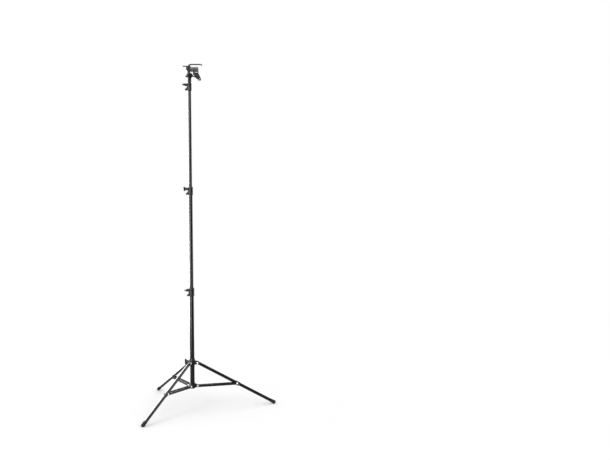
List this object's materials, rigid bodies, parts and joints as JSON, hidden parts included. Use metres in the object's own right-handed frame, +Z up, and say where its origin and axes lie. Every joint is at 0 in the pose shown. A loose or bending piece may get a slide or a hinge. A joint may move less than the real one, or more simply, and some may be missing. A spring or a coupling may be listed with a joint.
{
  "type": "light stand",
  "caption": "Folding tripod stand with telescoping column, locking collars with T-knobs and a roll-holding clamp head with hook for hanging a paper backdrop.",
  "frame": {"origin": "the floor under the middle of the footprint's bounding box", "axes": "+Z up along the column; +X along the leg that points the same way as the trough and hook of the head"},
  "size_m": [0.789, 0.9074, 2.142],
  "materials": {
    "satin_black_tube": "satin black anodised or enamelled tube and strip",
    "cast_black": "die casting with black powder coat",
    "knob_plastic": "black moulded plastic",
    "zinc_steel": "bright zinc plated steel",
    "cast_aluminium": "dull grey casting",
    "foot_rubber": "black rubber"
  },
  "bodies": {
    "column": {"base_tube": "satin_black_tube", "collar_1": "cast_black", "base_hub": "cast_black", "column_plug": "knob_plastic", "hub_pin_a": "zinc_steel", "hub_pin_b": "zinc_steel", "hub_pin_c": "zinc_steel"},
    "knob_1": {"collar_1_knob": "knob_plastic", "collar_1_knob_stud": "zinc_steel"},
    "leg_slider": {"leg_collar": "cast_black", "leg_pin_a": "zinc_steel", "leg_pin_b": "zinc_steel", "leg_pin_c": "zinc_steel"},
    "knob_leg": {"leg_collar_knob": "knob_plastic", "leg_collar_knob_stud": "zinc_steel"},
    "leg_a": {"leg_a_tube": "satin_black_tube", "leg_a_fitting": "cast_black", "leg_a_saddle": "cast_black", "leg_a_foot": "foot_rubber"},
    "brace_a": {"brace_a_left": "satin_black_tube", "brace_a_right": "satin_black_tube", "brace_a_pin": "zinc_steel"},
    "leg_b": {"leg_b_tube": "satin_black_tube", "leg_b_fitting": "cast_black", "leg_b_saddle": "cast_black", "leg_b_foot": "foot_rubber"},
    "brace_b": {"brace_b_left": "satin_black_tube", "brace_b_right": "satin_black_tube", "brace_b_pin": "zinc_steel"},
    "leg_c": {"leg_c_tube": "satin_black_tube", "leg_c_fitting": "cast_black", "leg_c_saddle": "cast_black", "leg_c_foot": "foot_rubber"},
    "brace_c": {"brace_c_left": "satin_black_tube", "brace_c_right": "satin_black_tube", "brace_c_pin": "zinc_steel"},
    "riser_1": {"riser_1_tube": "satin_black_tube", "riser_1_bush": "knob_plastic", "collar_2": "cast_black"},
    "knob_2": {"collar_2_knob": "knob_plastic", "collar_2_knob_stud": "zinc_steel"},
    "riser_2": {"riser_2_tube": "satin_black_tube", "riser_2_bush": "knob_plastic", "collar_3": "cast_black"},
    "knob_3": {"collar_3_knob": "knob_plastic", "collar_3_knob_stud": "zinc_steel"},
    "riser_3": {"riser_3_tube": "satin_black_tube", "riser_3_bush": "knob_plastic", "spigot": "zinc_steel"},
    "head": {"socket": "cast_black", "cradle": "cast_aluminium"},
    "knob_head": {"socket_knob": "knob_plastic", "socket_knob_stud": "zinc_steel"},
    "hook": {"hook": "cast_black"},
    "lever": {"cam_lever": "cast_black"},
    "jaw": {"clamp_jaw": "cast_black"},
    "screw": {"clamp_screw": "zinc_steel", "clamp_screw_head": "zinc_steel", "clamp_screw_clip": "zinc_steel"}
  },
  "joints": [
    {"name": "leg_spread", "type": "slide", "parent": "column", "child": "leg_slider", "axis": [0, 0, 1], "range_m": [0, 0.38577]},
    {"name": "leg_a_fold", "type": "hinge", "parent": "leg_slider", "child": "leg_a", "pos_m": [-0.1435, -0.02858, 0.269], "axis": [0.866, -0.5, 0], "range_deg": [0, 58.1]},
    {"name": "brace_a_fold", "type": "hinge", "parent": "column", "child": "brace_a", "pos_m": [-0.144, -0.02944, 0.124], "axis": [-0.866, 0.5, 0], "range_deg": [0, 84.1]},
    {"name": "leg_b_fold", "type": "hinge", "parent": "leg_slider", "child": "leg_b", "pos_m": [-0.1435, 0.02858, 0.269], "axis": [-0.866, -0.5, 0], "range_deg": [0, 58.1]},
    {"name": "brace_b_fold", "type": "hinge", "parent": "column", "child": "brace_b", "pos_m": [-0.144, 0.02944, 0.124], "axis": [0.866, 0.5, 0], "range_deg": [0, 84.1]},
    {"name": "leg_c_fold", "type": "hinge", "parent": "leg_slider", "child": "leg_c", "pos_m": [-0.094, 0, 0.269], "axis": [0, 1, 0], "range_deg": [0, 58.1]},
    {"name": "brace_c_fold", "type": "hinge", "parent": "column", "child": "brace_c", "pos_m": [-0.093, 0, 0.124], "axis": [0, -1, 0], "range_deg": [0, 84.1]},
    {"name": "riser_1_slide", "type": "slide", "parent": "column", "child": "riser_1", "axis": [0, 0, 1], "range_m": [-0.51, 0]},
    {"name": "riser_2_slide", "type": "slide", "parent": "riser_1", "child": "riser_2", "axis": [0, 0, 1], "range_m": [-0.59, 0]},
    {"name": "riser_3_slide", "type": "slide", "parent": "riser_2", "child": "riser_3", "axis": [0, 0, 1], "range_m": [0, 0.5]},
    {"name": "knob_1_turn", "type": "hinge", "parent": "column", "child": "knob_1", "pos_m": [-0.157, 0, 0.724], "axis": [-1, 0, 0], "range_deg": [0, 720]},
    {"name": "knob_2_turn", "type": "hinge", "parent": "riser_1", "child": "knob_2", "pos_m": [-0.157, 0, 1.358], "axis": [-1, 0, 0], "range_deg": [0, 720]},
    {"name": "knob_3_turn", "type": "hinge", "parent": "riser_2", "child": "knob_3", "pos_m": [-0.157, 0, 2.011], "axis": [-1, 0, 0], "range_deg": [0, 720]},
    {"name": "knob_leg_turn", "type": "hinge", "parent": "leg_slider", "child": "knob_leg", "pos_m": [-0.157, 0, 0.277], "axis": [-1, 0, 0], "range_deg": [0, 720]},
    {"name": "knob_head_turn", "type": "hinge", "parent": "head", "child": "knob_head", "pos_m": [-0.13476, -0.02898, 2.063], "axis": [-0.2588, -0.9659, 0], "range_deg": [0, 720]},
    {"name": "head_swivel", "type": "hinge", "parent": "riser_3", "child": "head", "pos_m": [-0.127, 0, 2.05], "axis": [0, 0, 1], "continuous": true},
    {"name": "hook_lift", "type": "hinge", "parent": "head", "child": "hook", "pos_m": [-0.128, 0, 2.132], "axis": [0, -1, 0], "range_deg": [0, 100]},
    {"name": "lever_lift", "type": "hinge", "parent": "head", "child": "lever", "pos_m": [-0.141, 0, 2.1225], "axis": [0, 1, 0], "range_deg": [0, 70]},
    {"name": "screw_turn", "type": "hinge", "parent": "head", "child": "screw", "pos_m": [-0.077, 0, 2.045], "axis": [0, 0, -1], "range_deg": [0, 1800]},
    {"name": "jaw_swing", "type": "hinge", "parent": "head", "child": "jaw", "pos_m": [-0.1, 0, 2.066], "axis": [0, 1, 0], "range_deg": [0, 7.2]}
  ],
  "couplings": [
    {"joint": "leg_a_fold", "follows": "leg_spread", "rad_per_m": 2.6241},
    {"joint": "brace_a_fold", "follows": "leg_spread", "rad_per_m": 3.8},
    {"joint": "leg_b_fold", "follows": "leg_spread", "rad_per_m": 2.6241},
    {"joint": "brace_b_fold", "follows": "leg_spread", "rad_per_m": 3.8},
    {"joint": "leg_c_fold", "follows": "leg_spread", "rad_per_m": 2.6241},
    {"joint": "brace_c_fold", "follows": "leg_spread", "rad_per_m": 3.8},
    {"joint": "jaw_swing", "follows": "screw_turn", "ratio": 0.0039789}
  ]
}
